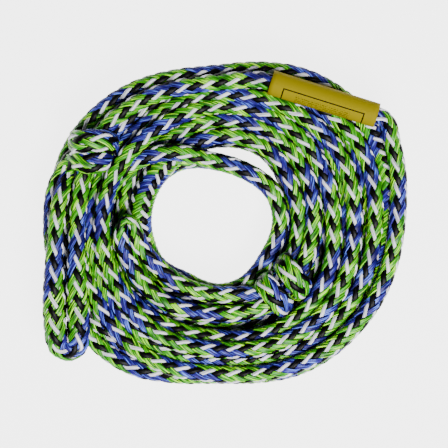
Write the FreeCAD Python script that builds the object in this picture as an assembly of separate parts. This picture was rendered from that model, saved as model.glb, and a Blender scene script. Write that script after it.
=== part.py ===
import FreeCAD, Part
import math
import os

# Bare tow rope for towed water toys: one hollow-braid rope, coiled, tied with turns of its own end,
# with a printed vinyl label sleeve threaded on the outer turn. It lies flat on Z = 0, +Z up, and the
# origin is on that surface, below the middle of the whole coil. Millimetres.

os.makedirs("parts", exist_ok=True)
V = FreeCAD.Vector

ROPE_D = 16.0          # the laid rope
BUNDLE_H = 62.0        # height of the bundle of turns
STACK_H = 52.0         # height of the loose innermost turns
CENTRE = V(-6.5, -2.5, 0)  # middle of the turns
TURN_W = 17.5          # width of one turn, with its slack
SLEEVE_D = 23.4        # vinyl label sleeve, outside
SLEEVE_WALL = 0.8
SLEEVE_CLEAR = 0.7     # between the sleeve and the turns it lies on
SLEEVE_LEFT = V(44.6, 132.0, 61.0)
SLEEVE_RIGHT = V(143.8, 101.0, 61.0)
EYE_PITCH = 22.5       # between the two legs of the end eye

# Outline of the turns, as (degrees from +X, distance from CENTRE).
OUTER = [(0, 178), (13, 185), (27, 191), (45, 178), (60, 164), (75, 159.5), (90, 152), (110, 153),
         (130, 158), (155, 165), (175, 164), (190, 170.5), (208, 172), (228, 172), (247, 159), (270, 149.5),
         (290, 157), (315, 167), (338, 174)]
INNER = [(0, 64), (29, 72), (66, 84), (92, 82), (112, 73), (130, 69), (155, 65), (182, 64),
         (215, 57), (255, 57), (285, 55), (315, 50), (342, 55)]


def polar(degrees, radius, z=0.0):
    """A point at an angle and a distance from the middle of the turns."""
    a = math.radians(degrees)
    return CENTRE + V(radius * math.cos(a), radius * math.sin(a), z)


def outline_prism(stations, height):
    """The prism over a smooth closed outline."""
    curve = Part.BSplineCurve()
    curve.interpolate([polar(a, r) for a, r in stations], PeriodicFlag=True)
    return Part.Face(Part.Wire([curve.toShape()])).extrude(V(0, 0, height))


def edges_at(shape, z):
    """The long edges of a prism that lie in the plane at height z."""
    return [e for e in shape.Edges if abs(e.BoundBox.ZMin - z) < 1e-3 and abs(e.BoundBox.ZMax - z) < 1e-3]


def route(points):
    """Straight runs joined by tangent arcs, each as large as its two runs allow, and the arcs' radii."""
    edges, radii = [], []
    start = points[0]
    for before, corner, after in zip(points, points[1:], points[2:]):
        back, on = before - corner, after - corner
        half_turn = (math.pi - back.getAngle(on)) / 2
        reach = 0.45 * min(back.Length, on.Length)
        radii.append(reach / math.tan(half_turn))
        back.normalize()
        on.normalize()
        first, last = corner + back * reach, corner + on * reach
        inward = (back + on).normalize()
        middle = corner + inward * (radii[-1] * (1 / math.cos(half_turn) - 1))
        edges += [Part.LineSegment(start, first).toShape(), Part.Arc(first, middle, last).toShape()]
        start = last
    edges.append(Part.LineSegment(start, points[-1]).toShape())
    return Part.Wire(edges), radii


def rope_tube(name, points):
    """A stretch of rope along its route. Prints its bends, and its volume against section times length."""
    wire, radii = route(points)
    along = points[1] - points[0]
    section = Part.Wire([Part.makeCircle(ROPE_D / 2, points[0], along)])
    tube = wire.makePipeShell([section], True, False)
    ideal = math.pi * ROPE_D ** 2 / 4 * wire.Length
    print(name, "length", round(wire.Length, 1), "radii", [round(r, 1) for r in radii],
          "volume ratio", round(tube.Volume / ideal, 4), "valid", tube.isValid())
    return tube


# The turns: one ring with a wide crowned top, and a trough where the label sleeve lies in them.
coil = outline_prism(OUTER, BUNDLE_H).cut(outline_prism(INNER, BUNDLE_H))
coil = coil.makeFillet(15.0, edges_at(coil, BUNDLE_H))
coil = coil.makeFillet(8.0, edges_at(coil, 0.0))
sleeve_axis = SLEEVE_RIGHT - SLEEVE_LEFT
sleeve_length = sleeve_axis.Length
sleeve_axis.normalize()
trough_r = SLEEVE_D / 2 + SLEEVE_CLEAR
trough = Part.makeCylinder(trough_r, sleeve_length + 2 * SLEEVE_CLEAR,
                           SLEEVE_LEFT - sleeve_axis * SLEEVE_CLEAR, sleeve_axis)
coil = coil.cut(trough)

# The innermost turns stand apart from the rest, with a crescent gap that goes right through.
in_arc = Part.Arc(polar(-24, 50), polar(42, 53.5), polar(112, 59))
out_arc = Part.Arc(polar(-24, 50 + TURN_W), polar(42, 53.5 + TURN_W), polar(112, 59 + TURN_W))
ends = [Part.LineSegment(polar(-24, 50), polar(-24, 50 + TURN_W)),
        Part.LineSegment(polar(112, 59), polar(112, 59 + TURN_W))]
band = Part.Wire(Part.__sortEdges__([c.toShape() for c in [in_arc, out_arc] + ends]))
inner_turns = Part.Face(band).extrude(V(0, 0, STACK_H))
inner_turns = inner_turns.makeFillet(7.0, edges_at(inner_turns, STACK_H) + edges_at(inner_turns, 0.0))

# The outer turn that carries the label: straight inside the sleeve, then down into the bundle.
sleeve_run = rope_tube("sleeve_run", [
    V(-40, 129, 42), V(0, 135, 57), SLEEVE_LEFT - sleeve_axis * 12,
    SLEEVE_RIGHT + sleeve_axis * 11, V(163, 75, 58), V(165, 45, 42)])

# The vinyl sleeve, which turns freely on that stretch.
label_sleeve = Part.makeCylinder(SLEEVE_D / 2, sleeve_length, SLEEVE_LEFT, sleeve_axis)
label_sleeve = label_sleeve.cut(
    Part.makeCylinder(SLEEVE_D / 2 - SLEEVE_WALL, sleeve_length, SLEEVE_LEFT, sleeve_axis))

# The end eye: two legs side by side on the turns, and a tight bight past the edge of the coil.
end_eye = rope_tube("end_eye", [
    V(-150, 52, 50), V(-159, 12, 60), V(-160, -30, 61), V(-157.5, -72, 57), V(-156.5, -117, 44),
    V(-156.5 + EYE_PITCH, -118, 44), V(-134.5, -72, 57), V(-138, -30, 61), V(-137, 12, 60), V(-128, 52, 50)])

# Two turns of the end round the outer turns, at the left.
outer_wrap_1 = rope_tube("outer_wrap_1", [
    V(-97, 72, 44), V(-103, 71, 67), V(-126, 71, 70), V(-145, 71, 65), V(-149, 72, 44)])
outer_wrap_2 = rope_tube("outer_wrap_2", [
    V(-101, 62, 40), V(-107, 54, 60), V(-126, 50, 63), V(-141, 55, 58), V(-144, 62, 40)])

# Two turns of the other end round the inner turns, at the right.
inner_wrap_1 = rope_tube("inner_wrap_1", [
    V(40, -30, 36), V(49, -36, 58), V(62, -47, 62), V(76, -59, 56), V(79, -63, 36)])
inner_wrap_2 = rope_tube("inner_wrap_2", [
    V(25, -50, 36), V(31, -55, 58), V(46, -64, 62), V(62, -73, 56), V(66, -77, 36)])

nodes = {
    "coil": coil, "inner_turns": inner_turns, "sleeve_run": sleeve_run, "label_sleeve": label_sleeve,
    "end_eye": end_eye, "outer_wrap_1": outer_wrap_1, "outer_wrap_2": outer_wrap_2,
    "inner_wrap_1": inner_wrap_1, "inner_wrap_2": inner_wrap_2}
for name, shape in nodes.items():
    shape.exportStep(os.path.join("parts", name + ".step"))

whole = Part.makeCompound(list(nodes.values())).BoundBox
print("size", round(whole.XLength, 1), round(whole.YLength, 1), round(whole.ZLength, 1))
print("middle", round(whole.Center.x, 2), round(whole.Center.y, 2), "bottom", round(whole.ZMin, 3))
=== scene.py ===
import bpy
import math
import numpy as np
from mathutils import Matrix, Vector


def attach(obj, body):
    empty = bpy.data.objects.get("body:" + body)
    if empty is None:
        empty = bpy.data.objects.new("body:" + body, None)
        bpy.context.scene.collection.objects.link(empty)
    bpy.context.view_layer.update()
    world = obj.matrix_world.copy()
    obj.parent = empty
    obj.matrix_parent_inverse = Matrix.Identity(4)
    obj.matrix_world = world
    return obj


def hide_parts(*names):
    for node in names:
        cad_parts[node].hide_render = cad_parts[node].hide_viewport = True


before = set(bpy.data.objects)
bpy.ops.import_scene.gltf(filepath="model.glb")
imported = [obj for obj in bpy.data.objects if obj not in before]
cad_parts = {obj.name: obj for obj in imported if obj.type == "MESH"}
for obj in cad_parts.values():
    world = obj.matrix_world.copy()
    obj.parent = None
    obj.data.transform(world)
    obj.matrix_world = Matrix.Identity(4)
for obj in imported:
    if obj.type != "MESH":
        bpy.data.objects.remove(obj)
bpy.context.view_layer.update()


# ---- Camera --------------------------------------------------------------------------------------
# It looks straight down on the coil from high up, with a long lens, so that the turns' sides hardly
# show.
camera_height = 1.80
turns_height = 0.052     # the height at which the frame is as wide as the view
view_width = 0.4211
camera_data = bpy.data.cameras.new("camera")
sensor_width = 36
camera_data.sensor_width = sensor_width
camera_data.lens = sensor_width * (camera_height - turns_height) / view_width
camera = bpy.data.objects.new("camera", camera_data)
camera.location = (0.0009, -0.0005, camera_height)
bpy.context.scene.collection.objects.link(camera)
bpy.context.scene.camera = camera


# ---- The rope's route ----------------------------------------------------------------------------
# One hollow-braid rope, 16 mm thick, wound by hand in three layers. It goes twice round the outer turns,
# makes the end eye, and comes back over the top through the label sleeve. Its other end makes a small
# bight and goes twice round the inner turns.
rope_d = 0.016
coil_middle = Vector((-0.0065, -0.0025))
points_per_turn = 24
sleeve_left = Vector((0.0446, 0.1320, 0.061))
sleeve_right = Vector((0.1438, 0.1010, 0.061))
sleeve_along = (sleeve_right - sleeve_left).normalized()
layer_height = [0.0080, 0.0218, 0.0356, 0.0495]
route = []        # the rope's points, from end to end
loose = []        # how far each point may move as the turns settle: 1 freely, 0 not at all
walls = []        # the least and the greatest distance from the coil's middle that each may have


def ring_of(*radii_mm):
    """The distance from the coil's middle at any angle, from the distances every 30 degrees."""
    def radius(angle):
        place = angle % 360 / 30
        i = int(place)
        t = place - i
        a, b, c, d = (radii_mm[(i + k) % 12] / 1000 for k in (-1, 0, 1, 2))
        return 0.5 * (2 * b + (c - a) * t + (2 * a - 5 * b + 4 * c - d) * t ** 2
                      + (3 * b - a - 3 * c + d) * t ** 3)
    return radius


# Middles of the outermost and innermost turns, the furrow that parts the top turns in two, and the
# outer side of the crescent gap beside the innermost turns.
low_outer = ring_of(166, 175, 165, 144, 151, 158, 154, 160, 157, 138, 153, 162)
top_outer = ring_of(169, 177, 153, 135, 138, 141, 137, 141, 141, 138, 151, 163)
furrow = ring_of(101, 107, 111, 109, 102, 98, 94, 95, 94, 92, 98, 101)
furrow_width = ring_of(3, 0, 0, 0, 0, 4, 8, 7, 6, 8, 11, 9)
gap_outer = ring_of(72, 81, 91, 89, 83, 78, 79, 78, 75, 73, 74, 72)
innermost = ring_of(63, 64, 60, 62, 72, 75, 75, 71, 61, 65, 64, 59)


def low_turn(k):
    """The radius of turn k, 0 to 5 from the inside, in the three lower layers."""
    def radius(angle):
        second = max(innermost(angle) + rope_d, gap_outer(angle))
        return innermost(angle) if k == 0 else second + (k - 1) / 4 * (low_outer(angle) - second)
    return radius


def outer_top_turn(k):
    """The radius of turn k, 0 to 3 from the outside, between the coil's edge and the furrow."""
    return lambda angle: (top_outer(angle) - k / 3 * (top_outer(angle) - furrow(angle) - furrow_width(angle)
                                                      - rope_d / 2))


def furrow_turn(angle):
    return furrow(angle) - rope_d / 2


def second_turn(angle):
    return max(gap_outer(angle), (furrow_turn(angle) + innermost(angle)) / 2)


def ease(t):
    t = min(max(t, 0.0), 1.0)
    return t * t * (3 - 2 * t)


def wind(start, end, turns, steps, height, play=None):
    """Winds the rope clockwise from start to end, in degrees, stepping from each turn to the next. Its
    radius may settle by play, or else anywhere between the coil's inside and its outside."""
    for angle in np.arange(start, end, -360 / points_per_turn):
        radius = turns[0](angle)
        for turn, (first, last) in zip(turns[1:], steps):
            share = ease((first - angle) / (first - last))
            radius += (turn(angle) - radius) * share
        a = math.radians(angle)
        route.append(Vector((coil_middle.x + radius * math.cos(a), coil_middle.y + radius * math.sin(a),
                             height(angle))))
        loose.append(1.0)
        walls.append((radius - play, radius + play) if play else (innermost(angle), low_outer(angle)))


def wind_layer(start, turns, layer):
    """One lower layer. Each turn steps to the next between 5 degrees below +X and the upper left."""
    end = start - 360 * len(turns)
    steps = [(start - 360 * i - 95, start - 360 * i - 345) for i in range(len(turns) - 1)]
    rise = layer_height[min(layer + 1, 2)] - layer_height[layer]
    wind(start, end, [low_turn(k) for k in turns], steps,
         lambda angle: layer_height[layer] + rise * ease((end + 60 - angle) / 60))
    return end


def lay(mobility, *points):
    """Lays the rope along points chosen one by one."""
    for point in points:
        route.append(Vector(point))
        loose.append(mobility)
        walls.append((0.0, 1.0))


# The three lower layers, out, in and out again. The rope's first end is hidden at the bottom. Its last
# lower turn holds the spliced stretch that shows at the coil's right edge.
wind(300, 90, [low_turn(1.5), low_turn(2)], [(270, 120)], lambda angle: layer_height[0])
angle = wind_layer(90, [2, 3, 4, 5], 0)
angle = wind_layer(angle, [5, 4, 3, 2, 1, 0], 1)
angle = wind_layer(angle, [0, 1, 3, 4, 5], 2)
outer_splice_from = len(route) + 4
wind(angle, angle - 255, [low_turn(5)], [], lambda angle: layer_height[2])
outer_splice_to = len(route) - 5

# Up the left side, and twice round the outer turns.
lay(0.8, (-0.158, -0.030, 0.038), (-0.158, 0.005, 0.040), (-0.155, 0.035, 0.040))
outer_wraps_from = len(route)
lay(0.0, (-0.143, 0.060, 0.046), (-0.137, 0.061, 0.061), (-0.125, 0.056, 0.065), (-0.111, 0.059, 0.062),
    (-0.102, 0.065, 0.046), (-0.108, 0.074, 0.032), (-0.125, 0.078, 0.030), (-0.138, 0.078, 0.038),
    (-0.141, 0.077, 0.055), (-0.135, 0.076, 0.068), (-0.124, 0.077, 0.070), (-0.109, 0.077, 0.067),
    (-0.100, 0.073, 0.050), (-0.107, 0.062, 0.036), (-0.126, 0.057, 0.034), (-0.143, 0.050, 0.040))
outer_wraps_to = len(route) - 1
# Down one leg of the end eye, round its bight and up the other leg, which becomes the top turn.
lay(0.3, (-0.152, 0.034, 0.050), (-0.1565, 0.010, 0.054), (-0.1590, -0.030, 0.055))
eye_from = len(route)
lay(0.3, (-0.1590, -0.072, 0.054))
lay(0.0, (-0.1580, -0.100, 0.050), (-0.155, -0.1185, 0.044), (-0.138, -0.119, 0.044),
    (-0.1355, -0.100, 0.050))
lay(0.3, (-0.1365, -0.072, 0.055))
eye_to = len(route) - 1
lay(0.3, (-0.138, -0.030, 0.056), (-0.137, 0.012, 0.055), (-0.133, 0.045, 0.052))

# Over the upper left, straight through the label sleeve, and down the right side.
wind(150, 100, [outer_top_turn(0)], [], lambda angle: 0.051, play=0.002)
lay(0.5, (-0.002, 0.133, 0.055))
sleeve_run_from = len(route)
for reach in (-0.012, 0.008, 0.030, 0.052, 0.074, 0.096, 0.115):
    lay(0.0, sleeve_left + sleeve_along * reach)
sleeve_run_to = len(route)
lay(0.5, (0.1580, 0.0745, 0.058), (0.1640, 0.047, 0.054))

# The top turns: four outside the furrow, then one that crosses over to the inside at the upper
# left, and two that come back out towards the furrow.
top_turns = [outer_top_turn(k) for k in range(4)] + [innermost, second_turn, furrow_turn]
top_steps = [(-105, -155), (-465, -515), (-825, -875), (-1275, -1345), (-1610, -1720), (-1910, -1965)]


def dip(angle, middle, width):
    """1 at one angle, falling evenly to 0 at this width to either side."""
    return max(0.0, 1 - abs(angle - middle) / width)


def top_height(angle):
    """The top turns' height. They rise where one crosses over, and two dip under the tail."""
    height = layer_height[3] - 0.012 * dip(angle, -1250, 60) + 0.012 * dip(angle, -1310, 40)
    height -= 0.008 * dip(angle, -1675, 50) + 0.006 * dip(angle, -2040, 45)
    height -= 0.013 * min(1.0, 2 * max(dip(angle, -1515, 125), dip(angle, -1895, 120)))
    return height


top_from = len(route)
wind(0, -2325, top_turns, top_steps, top_height, play=0.002)
inner_splice_from = top_from + int(1618 / 15)
inner_splice_to = top_from + int(1672 / 15)

# The small bight, and the tail that lies over the innermost turns and goes twice round them.
lay(0.4, (-0.0955, -0.018, 0.055))
small_bight = len(route)
lay(0.0, (-0.0950, -0.001, 0.060), (-0.0890, 0.0055, 0.061), (-0.0830, -0.001, 0.060))
lay(0.2, (-0.080, -0.018, 0.056), (-0.071, -0.031, 0.054), (-0.059, -0.043, 0.053), (-0.045, -0.054, 0.052),
    (-0.028, -0.063, 0.052), (-0.009, -0.067, 0.051), (0.011, -0.067, 0.050), (0.029, -0.066, 0.046),
    (0.045, -0.070, 0.040), (0.057, -0.077, 0.040))
inner_wraps_from = len(route)
lay(0.0, (0.0590, -0.0795, 0.054), (0.0555, -0.0755, 0.062), (0.0460, -0.0645, 0.0655),
    (0.0375, -0.0545, 0.062), (0.0375, -0.0545, 0.048), (0.0405, -0.0535, 0.033), (0.0500, -0.0540, 0.026),
    (0.0660, -0.0600, 0.030), (0.0755, -0.0640, 0.044), (0.0755, -0.0625, 0.056), (0.0715, -0.0575, 0.063),
    (0.0635, -0.0470, 0.0655), (0.0565, -0.0380, 0.062), (0.0550, -0.0355, 0.048), (0.0560, -0.0360, 0.034))
inner_wraps_to = len(route) - 1


# ---- The turns settle ----------------------------------------------------------------------------
# The rope's own weight presses the turns down until they lie on each other and on the floor. Each
# point keeps its place along the rope, and the stretch in the label sleeve stays straight.
piece_length = 0.009         # the rope is felt in pieces about this long
plain_reach = 0.47 * rope_d  # how far the rope's side is from its middle: a soft braid gives a little
sleeve_reach = 0.0125
splice_reach = 0.0110
sinking = 0.0002             # how far a free turn sinks in one round
settling_rounds = 200


def settle_turns(points, mobility, walls):
    """The points after the turns have sunk, and have pushed each other apart where they overlap."""
    start, n = np.array(points), len(points)
    mobility, walls = np.array(mobility), np.array(walls)
    placed, middle = start.copy(), np.array(coil_middle)
    run = np.linalg.norm(np.diff(start, axis=0), axis=1)
    pieces = np.ceil(run / piece_length).astype(int)
    i = np.repeat(np.arange(n - 1), pieces)
    t = np.concatenate([np.arange(k) / k for k in pieces])
    along = np.concatenate([[0], np.cumsum(run)])[i] + t * run[i]
    in_sleeve = (i >= sleeve_run_from) & (i < sleeve_run_to - 1)
    bunched = (i >= inner_splice_from) & (i < inner_splice_to)
    reach = np.where(in_sleeve, sleeve_reach, np.where(bunched, splice_reach, plain_reach))
    moves = mobility[i] * (1 - t) + mobility[i + 1] * t
    for round_number in range(settling_rounds):
        at = placed[i] * (1 - t)[:, None] + placed[i + 1] * t[:, None]
        # Every tenth round finds anew which pieces of different turns lie near each other.
        if round_number % 10 == 0:
            square = (at ** 2).sum(1)
            near = square[:, None] + square[None, :] - 2 * at @ at.T < 0.030 ** 2
            a, b = np.nonzero(np.triu(near, 1))
            apart = along[b] - along[a] > 2.2 * rope_d
            a, b = a[apart], b[apart]
        # Pieces that overlap push each other apart, and each push moves the points at its ends.
        between = at[b] - at[a]
        distance = np.linalg.norm(between, axis=1) + 1e-9
        overlap = np.maximum(reach[a] + reach[b] - distance, 0)
        hit = overlap > 0
        push = (between / distance[:, None] * (0.8 * overlap / (moves[a] + moves[b] + 1e-6))[:, None])[hit]
        shift, count = np.zeros((n, 3)), np.zeros(n)
        for side, sign in ((a[hit], -1), (b[hit], 1)):
            force = sign * push * moves[side][:, None]
            for point, share in ((i[side], 1 - t[side]), (i[side] + 1, t[side])):
                np.add.at(shift, point, force * share[:, None])
                np.add.at(count, point, share)
        placed += 1.5 * shift / np.maximum(count, 1)[:, None] * np.sqrt(mobility)[:, None]
        # The rope is stiff, so what one point moves is shared with its neighbours. Then the turns sink.
        moved = placed - start
        even = moved.copy()
        even[1:-1] = 0.25 * moved[:-2] + 0.5 * moved[1:-1] + 0.25 * moved[2:]
        moved += 0.6 * (even - moved) * (mobility > 0)[:, None]
        moved[:, :2] *= 0.98
        moved[:, 2] -= sinking * mobility * (round_number < 0.8 * settling_rounds)
        # The floor holds them up, and each point stays between its walls.
        placed = start + moved
        placed[:, 2] = np.maximum(placed[:, 2], rope_d / 2)
        from_middle = placed[:, :2] - middle
        distance = np.linalg.norm(from_middle, axis=1)
        placed[:, :2] = middle + from_middle * (np.clip(distance, *walls.T) / distance)[:, None]
    return placed


settled = settle_turns(route, loose, walls)


# ---- The rope's line -----------------------------------------------------------------------------
# The points are the control points of one smooth spline, and the strands follow the points read
# from it.
line_curve = bpy.data.curves.new("rope_line", "CURVE")
line_curve.dimensions = "3D"
line_curve.resolution_u = 12
spline = line_curve.splines.new("NURBS")
spline.points.add(len(settled) - 1)
for point, place in zip(spline.points, settled):
    point.co = (*place, 1)
spline.order_u = 3
spline.use_endpoint_u = True
line_object = bpy.data.objects.new("rope_line", line_curve)
line_mesh = bpy.data.meshes.new_from_object(line_object)
rope_line = np.array([v.co for v in line_mesh.vertices])
bpy.data.meshes.remove(line_mesh)
bpy.data.objects.remove(line_object)
line_run = np.concatenate([[0], np.cumsum(np.linalg.norm(np.diff(rope_line, axis=0), axis=1))])
rope_length = float(line_run[-1])


def run_at(index):
    """How far along the rope the settled point with this index lies."""
    gap = np.linalg.norm(rope_line - settled[index], axis=1)
    line_index = np.linspace(0, len(settled) - 1, len(rope_line))
    gap[np.abs(line_index - index) > 3] = np.inf
    return float(line_run[gap.argmin()])


def stretch(first, last, blend):
    """1 between two of the route's points and 0 away from them, by the run along the rope."""
    a, b = run_at(first), run_at(last)
    return lambda run: np.clip(np.minimum((run - a) / blend + 1, (b - run) / blend + 1), 0, 1)


# ---- The braid -----------------------------------------------------------------------------------
# Sixteen strands of polyethylene yarn, eight wound each way, two over and two under, round a hollow
# middle. White and black take turns one way; five green and three blue go the other way. The rope is
# bunched where its ends are spliced back into it, flat in the tying turns, and fatter in the doubled eye.
lay_length = 0.096       # the length in which a strand goes once round the rope
strand_thick = 0.0021
crimp = 0.00085          # how far a strand rises over the others and sinks under them
braid_radius = 0.0065    # from the rope's middle to the strands' middles
white_width = 0.0037
black_width = 0.0057
ply_width = 0.0057       # the green and blue strands are each two plies side by side
splice_outer = stretch(outer_splice_from, outer_splice_to, 0.05)
splice_inner = stretch(inner_splice_from, inner_splice_to, 0.03)
outer_wraps = stretch(outer_wraps_from, outer_wraps_to, 0.02)
inner_wraps = stretch(inner_wraps_from, inner_wraps_to, 0.02)
bight_inner = stretch(small_bight, small_bight + 2, 0.012)
eye = stretch(eye_from, eye_to, 0.05)


def bunching(run):
    return np.maximum(0.75 * splice_outer(run), splice_inner(run))


def flattening(run):
    return np.maximum(outer_wraps(run), inner_wraps(run))


fine_run = np.linspace(0, rope_length, int(rope_length / 0.0005))
turn_rate = 2 * math.pi / lay_length * (1 + bunching(fine_run)) * (1 - 0.15 * flattening(fine_run))
fine_turn = np.concatenate([[0], np.cumsum((turn_rate[1:] + turn_rate[:-1]) / 2 * np.diff(fine_run))])
samples_per_lay = 32
turned = np.arange(0, fine_turn[-1], 2 * math.pi / samples_per_lay)
run = np.interp(turned, fine_turn, fine_run)
middle = np.stack([np.interp(run, line_run, rope_line[:, k]) for k in range(3)], axis=1)
ahead = np.gradient(middle, axis=0)
ahead /= np.linalg.norm(ahead, axis=1)[:, None]


def unit(vectors):
    return vectors / np.maximum(np.linalg.norm(vectors, axis=1), 1e-12)[:, None]


def carried_sideways(ahead):
    """A direction square to the rope all along it, which never twists about it."""
    side = np.zeros_like(ahead)
    now = np.cross(ahead[0], (0, 0, 1))
    for k, way in enumerate(ahead):
        now = now - way * now.dot(way)
        now /= np.linalg.norm(now)
        side[k] = now
    return side


side = carried_sideways(ahead)
up = np.cross(ahead, side)

# In the tying turns the rope is flat across the turns that it holds; in a tight bight it is narrow
# across the bend.
flat, narrow = flattening(run), bight_inner(run)
tie_wide = np.where((outer_wraps(run) > 0)[:, None], (0.0, 1.0, 0.0), (-0.62, -0.78, 0.0))
wide_way = unit(np.where((narrow > flat)[:, None], (0.0, 0.0, 1.0), tie_wide))
wide_way = unit(wide_way - ahead * (wide_way * ahead).sum(1)[:, None])
thin_way = np.cross(ahead, wide_way)
wide = 1 + 0.35 * flat + 0.15 * narrow
thin = 1 - 0.32 * flat - 0.38 * narrow
radius = braid_radius + 0.0036 * bunching(run) + 0.0030 * eye(run)
taper = np.clip(np.minimum(run, rope_length - run) / 0.010, 0.25, 1)
# The strands' sections, as shares of their width and thickness: a flat bundle, and two plies with a
# furrow between them.
flat_yarn = [(0.0, -0.5), (-0.5, -0.05), (-0.34, 0.36), (0.0, 0.5), (0.34, 0.36), (0.5, -0.05)]
two_ply = [(0.0, -0.5), (-0.5, -0.05), (-0.27, 0.5), (0.0, 0.12), (0.27, 0.5), (0.5, -0.05)]


def squashed(vectors, wide_by, thin_by):
    across = (vectors * wide_way).sum(1) * (wide_by - 1)
    through = (vectors * thin_way).sum(1) * (thin_by - 1)
    return vectors + wide_way * across[:, None] + thin_way * through[:, None]


def weave_strand(name, place, way, width, section):
    """One strand: place is its place round the rope, in eighths, and way is 1 or -1, the way it winds."""
    around = 2 * math.pi * place / 8 + way * turned
    over = np.tanh(2.2 * np.cos(4 * (around - math.pi / 16)) + 0.3) * way
    out = side * np.cos(around)[:, None] + up * np.sin(around)[:, None]
    path = middle + squashed(out, wide, thin) * ((radius + crimp * over) * taper)[:, None]
    face = unit(squashed(out, 1 / wide, 1 / thin))
    along = unit(np.gradient(path, axis=0))
    across = unit(np.cross(along, face))
    face = np.cross(across, along)
    rings = [path + across * (width * u * taper)[:, None] + face * (strand_thick * v * taper)[:, None]
             for u, v in section]
    points = np.stack(rings, axis=1).reshape(-1, 3)
    count, sides = len(path), len(section)
    ring, k = np.meshgrid(np.arange(count - 1), np.arange(sides), indexing="ij")
    after = (k + 1) % sides
    faces = np.stack([ring * sides + k, ring * sides + after, (ring + 1) * sides + after,
                      (ring + 1) * sides + k], axis=-1).reshape(-1, 4)
    mesh = bpy.data.meshes.new(name)
    caps = [list(range(sides))[::-1], list(range((count - 1) * sides, count * sides))]
    mesh.vertices.add(len(points))
    mesh.vertices.foreach_set("co", points.ravel())
    loops = np.concatenate([faces.ravel(), *caps])
    mesh.loops.add(len(loops))
    mesh.loops.foreach_set("vertex_index", loops)
    mesh.polygons.add(len(faces) + 2)
    starts = np.concatenate([np.arange(len(faces)) * 4, len(faces) * 4 + np.array([0, sides])])
    mesh.polygons.foreach_set("loop_start", starts)
    mesh.polygons.foreach_set("use_smooth", np.ones(len(faces) + 2, bool))
    yarn_uv = mesh.uv_layers.new(name="yarn")
    u = np.stack([k, k + 1, k + 1, k], axis=-1) / sides
    v = np.stack([run[ring], run[ring], run[ring + 1], run[ring + 1]], axis=-1)
    quads = np.stack([u, v], axis=-1).reshape(-1, 2)
    yarn_uv.data.foreach_set("uv", np.concatenate([quads, np.zeros((2 * sides, 2))]).ravel())
    mesh.update(calc_edges=True)
    mesh.validate()
    strand = bpy.data.objects.new(name, mesh)
    bpy.context.scene.collection.objects.link(strand)
    return strand


whites = [weave_strand(f"white_strand_{k + 1}", 2 * k, -1, white_width, flat_yarn) for k in range(4)]
blacks = [weave_strand(f"black_strand_{k + 1}", 2 * k + 1, -1, black_width, flat_yarn) for k in range(4)]
greens = [weave_strand(f"green_strand_{k + 1}", k + 1, 1, ply_width, two_ply) for k in range(5)]
blues = [weave_strand(f"blue_strand_{k + 1}", k + 6, 1, ply_width, two_ply) for k in range(3)]


# ---- Yarn ----------------------------------------------------------------------------------------
# Polyethylene filament yarn, drawn fine and laid side by side without twist. The filaments run along
# each strand and are glossy on top. Painted shade darkens the colour between them, and a painted
# highlight lights them in long lines. A real filament is about 0.1 mm thick, too fine to show: it is
# drawn 0.5 mm wide here, and a bundle 1.2 mm.
bundles_round_strand = 10
filaments_round_strand = 26
streaks_per_metre = 60


def linear(hex_colour):
    """A colour written as sRGB, as the shader's linear numbers."""
    parts = [int(hex_colour[i:i + 2], 16) / 255 for i in (1, 3, 5)]
    return [c / 12.92 if c <= 0.04045 else ((c + 0.055) / 1.055) ** 2.4 for c in parts] + [1.0]


def add_node(tree, kind, links=(), **settings):
    """Adds a node, sets its values, and links the sockets named in links to its inputs."""
    node = tree.nodes.new(kind)
    for key, value in settings.items():
        if key.startswith("in_"):
            name = key[3:]
            node.inputs[int(name) if name.isdigit() else name.replace("_", " ")].default_value = value
        else:
            setattr(node, key, value)
    for socket, output in links:
        tree.links.new(output, node.inputs[socket])
    return node


def yarn_material(name, shade, colour, light, gloss, highlight_share, shine):
    """shade is painted shade between the filaments, colour is the yarn on them, and light is a painted
    highlight along their tops.
    """
    material = bpy.data.materials.new(name)
    material.use_nodes = True
    tree = material.node_tree
    shader = tree.nodes["Principled BSDF"]
    uv = add_node(tree, "ShaderNodeUVMap", uv_map="yarn")
    fine = add_node(tree, "ShaderNodeMapping", [("Vector", uv.outputs["UV"])],
                    in_Scale=(filaments_round_strand, streaks_per_metre, 1))
    filaments = add_node(tree, "ShaderNodeTexNoise", [("Vector", fine.outputs["Vector"])], in_Scale=1.0,
                         in_Detail=1.0)
    broad = add_node(tree, "ShaderNodeMapping", [("Vector", uv.outputs["UV"])],
                     in_Scale=(bundles_round_strand, streaks_per_metre, 1))
    bundles = add_node(tree, "ShaderNodeTexNoise", [("Vector", broad.outputs["Vector"])], in_Scale=1.0,
                       in_Detail=1.0)
    # Painted shade: the yarn's colour is mixed towards shade in the grooves between the bundles.
    shade_mask = add_node(tree, "ShaderNodeMapRange", [("Value", bundles.outputs["Fac"])], in_1=0.42, in_2=0.52)
    body = add_node(tree, "ShaderNodeMix", [(0, shade_mask.outputs[0])], data_type="RGBA", in_6=linear(shade),
                    in_7=linear(colour))
    # Painted highlight: the light colour is mixed in on the tops of the bundles, in long lines.
    highlight_mask = add_node(tree, "ShaderNodeMapRange", [("Value", bundles.outputs["Fac"])], in_1=0.56, in_2=0.66,
                     in_3=0.0, in_4=highlight_share)
    lit = add_node(tree, "ShaderNodeMix", [(0, highlight_mask.outputs[0]), (6, body.outputs[2])], data_type="RGBA",
                   in_7=linear(light))
    both = add_node(tree, "ShaderNodeMath", [(0, filaments.outputs["Fac"]), (1, bundles.outputs["Fac"])],
                    operation="ADD")
    grain = add_node(tree, "ShaderNodeBump", [("Height", both.outputs[0])], in_Strength=0.5,
                     in_Distance=0.0004)
    tree.links.new(lit.outputs[2], shader.inputs["Base Color"])
    tree.links.new(grain.outputs["Normal"], shader.inputs["Normal"])
    shader.inputs["Roughness"].default_value = gloss
    shader.inputs["Specular IOR Level"].default_value = shine
    return material


# For each yarn: painted shade, its own colour, painted highlight, roughness, how much painted highlight,
# specular.
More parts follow.
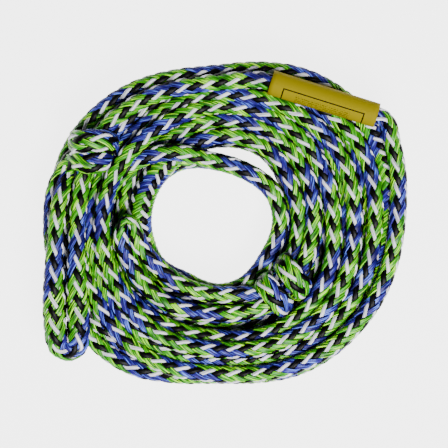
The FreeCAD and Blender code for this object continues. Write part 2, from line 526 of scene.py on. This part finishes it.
yarns = {
    "white_yarn": yarn_material("white_yarn", "#94949C", "#D0D0D6", "#F0F0F6", 0.5, 0.4, 0.12),
    "black_yarn": yarn_material("black_yarn", "#010101", "#020202", "#15151A", 0.4, 0.5, 0.08),
    "green_yarn": yarn_material("green_yarn", "#0A4200", "#2C9000", "#B0F01C", 0.4, 0.9, 0.25),
    "blue_yarn": yarn_material("blue_yarn", "#0A043A", "#221670", "#6084EC", 0.4, 0.8, 0.15),
}
strands = whites + blacks + greens + blues
for strand in strands:
    yarn = strand.name.split("_")[0] + "_yarn"
    strand.data.materials.append(yarns[yarn])
    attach(strand, "rope")
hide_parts("coil", "inner_turns", "sleeve_run", "end_eye", "outer_wrap_1", "outer_wrap_2",
            "inner_wrap_1", "inner_wrap_2")


# ---- Label sleeve --------------------------------------------------------------------------------
# A length of yellow vinyl tube, threaded loosely on the rope, with a thin black frame and rows of
# small print along its side.
sleeve_length = (sleeve_right - sleeve_left).length
sleeve_radius = 0.0117
sleeve_wall = 0.0008
sleeve_rings = 24        # rings of faces along it, so that it can be a little out of round
bpy.ops.object.select_all(action="DESELECT")
bpy.ops.mesh.primitive_cylinder_add(vertices=72, radius=sleeve_radius, depth=sleeve_length,
                                    end_fill_type="NOTHING")
sleeve = bpy.context.object
sleeve.name = "vinyl_sleeve"
for cut in range(1, sleeve_rings):
    bpy.ops.object.mode_set(mode="EDIT")
    bpy.ops.mesh.select_all(action="SELECT")
    bpy.ops.mesh.bisect(plane_co=(0, 0, sleeve_length * (cut / sleeve_rings - 0.5)), plane_no=(0, 0, 1))
    bpy.ops.object.mode_set(mode="OBJECT")
print_uv = sleeve.data.uv_layers.new(name="print")
for loop in sleeve.data.loops:
    co = sleeve.data.vertices[loop.vertex_index].co
    print_uv.data[loop.index].uv = (math.atan2(co.y, co.x), co.z)
# The faces where the angle jumps from half a turn to minus half a turn are joined up.
for face in sleeve.data.polygons:
    around = [print_uv.data[i].uv[0] for i in face.loop_indices]
    if max(around) - min(around) > math.pi:
        for i in face.loop_indices:
            if print_uv.data[i].uv[0] < 0:
                print_uv.data[i].uv[0] += 2 * math.pi
    face.use_smooth = True
# Soft vinyl isn't quite round.
for vertex in sleeve.data.vertices:
    around = math.atan2(vertex.co.y, vertex.co.x)
    ripple = 1 - 0.005 * (1 + math.sin(2 * around + 40 * vertex.co.z))
    vertex.co.x *= ripple
    vertex.co.y *= ripple
wall = sleeve.modifiers.new("wall", "SOLIDIFY")
wall.thickness = sleeve_wall
wall.offset = -1
bpy.ops.object.modifier_apply(modifier="wall")
turn = sleeve_along.to_track_quat("Z", "Y")
sleeve.rotation_mode = "QUATERNION"
sleeve.rotation_quaternion = turn
sleeve.location = (sleeve_left + sleeve_right) / 2
bpy.ops.object.transform_apply(location=True, rotation=True, scale=True)


def vinyl_material():
    """Extruded soft vinyl with a satin face, printed in black. It looks even, with one broad soft shine.

    The print's UV gives the angle round the tube, and the place along it in metres."""
    panel_turn = 2.88          # the angle of the printed panel's middle
    panel_half_angle = 1.0
    panel_half_length = 0.0385
    rows_per_radian = 5.5      # rows of print, 2.1 mm apart
    marks_per_metre = 900      # letters of about 1 mm
    material = bpy.data.materials.new("printed_vinyl")
    material.use_nodes = True
    tree = material.node_tree
    shader = tree.nodes["Principled BSDF"]
    uv = add_node(tree, "ShaderNodeUVMap", uv_map="print")
    place = add_node(tree, "ShaderNodeSeparateXYZ", [(0, uv.outputs["UV"])])

    def calculate(operation, *values):
        node = add_node(tree, "ShaderNodeMath", operation=operation)
        for socket, value in zip(node.inputs, values):
            if isinstance(value, float):
                socket.default_value = value
            else:
                tree.links.new(value, socket)
        return node.outputs[0]

    def inside_panel(grow_angle, grow_along):
        """1 inside the printed panel, grown by an angle and a length."""
        off_side = calculate("ABSOLUTE", calculate("SUBTRACT", place.outputs["X"], panel_turn))
        off_end = calculate("ABSOLUTE", calculate("SUBTRACT", place.outputs["Y"], 0.0005))
        return calculate("MULTIPLY", calculate("LESS_THAN", off_side, panel_half_angle + grow_angle),
                         calculate("LESS_THAN", off_end, panel_half_length + grow_along))

    frame_line = calculate("SUBTRACT", inside_panel(0.10, 0.0012), inside_panel(0.0, 0.0))
    rows = calculate("FRACT", calculate("MULTIPLY", place.outputs["X"], rows_per_radian))
    rows = calculate("LESS_THAN", rows, 0.42)
    words = add_node(tree, "ShaderNodeMapping", [("Vector", uv.outputs["UV"])],
                     in_Scale=(rows_per_radian, marks_per_metre, 1))
    marks = add_node(tree, "ShaderNodeTexNoise", [("Vector", words.outputs["Vector"])], in_Scale=1.0)
    written = calculate("MULTIPLY", calculate("GREATER_THAN", marks.outputs["Fac"], 0.48), rows)
    written = calculate("MULTIPLY", written, inside_panel(-0.18, -0.012))
    ink = calculate("MAXIMUM", frame_line, calculate("MULTIPLY", written, 0.8))
    printed = add_node(tree, "ShaderNodeMix", [(0, ink)], data_type="RGBA", in_6=linear("#746800"),
                       in_7=linear("#0A0800"))
    tree.links.new(printed.outputs[2], shader.inputs["Base Color"])
    shader.inputs["Roughness"].default_value = 0.6
    shader.inputs["Specular IOR Level"].default_value = 0.03
    return material


sleeve.data.materials.append(vinyl_material())
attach(sleeve, "label")
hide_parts("label_sleeve")


# ---- Floor and light -----------------------------------------------------------------------------
# A plain pale floor that gives back some light of its own, one big soft light high up, and an even
# pale room.
bpy.ops.object.select_all(action="DESELECT")
bpy.ops.mesh.primitive_plane_add(size=4, location=(0, 0, -0.0003))
floor = bpy.context.object
floor.name = "floor"
paper = bpy.data.materials.new("floor_paper")
paper.use_nodes = True
paper_shader = paper.node_tree.nodes["Principled BSDF"]
paper_shader.inputs["Base Color"].default_value = linear("#7C7C7C")
paper_shader.inputs["Roughness"].default_value = 0.9
paper_shader.inputs["Emission Color"].default_value = (1, 1, 1, 1)
paper_shader.inputs["Emission Strength"].default_value = 4.15
floor.data.materials.append(paper)

soft_light = bpy.data.lights.new("soft_light", "AREA")
soft_light.shape = "DISK"
soft_light.size = 0.8
soft_light.energy = 88
soft_lamp = bpy.data.objects.new("soft_light", soft_light)
soft_lamp.location = (0.35, -0.70, 1.5)
soft_lamp.rotation_euler = (Vector((0, 0, 0)) - soft_lamp.location).to_track_quat("-Z", "Y").to_euler()
bpy.context.scene.collection.objects.link(soft_lamp)
room = bpy.data.worlds.new("room")
room.use_nodes = True
room.node_tree.nodes["Background"].inputs["Color"].default_value = (1, 1, 1, 1)
room.node_tree.nodes["Background"].inputs["Strength"].default_value = 0.12
bpy.context.scene.world = room
